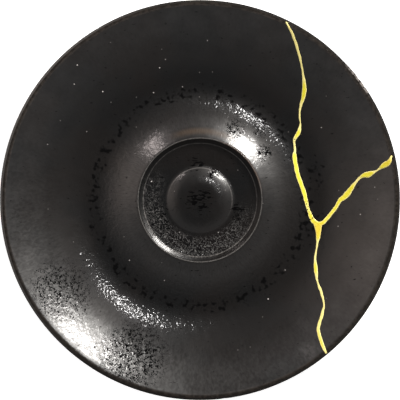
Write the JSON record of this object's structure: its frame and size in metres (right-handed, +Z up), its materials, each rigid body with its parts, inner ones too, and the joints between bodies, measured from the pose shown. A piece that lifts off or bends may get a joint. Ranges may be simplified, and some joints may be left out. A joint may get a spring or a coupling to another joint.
{
  "type": "saucer",
  "caption": "Shallow round saucer with a ringed cup well, a raised mound and a sweeping bowl, black glazed and mended with a gold seam.",
  "frame": {"origin": "centre of the foot ring's standing face, on the turning axis", "axes": "+Z up along the turning axis, +X towards the side with the seam's east branch, +Y towards the seam's branch that climbs to the far rim"},
  "size_m": [0.15, 0.15, 0.0187],
  "materials": {
    "black_glaze": "satin",
    "gold_lacquer": "satin"
  },
  "bodies": {
    "root": {"saucer": "black_glaze", "gold_seam": "gold_lacquer"}
  },
  "joints": []
}
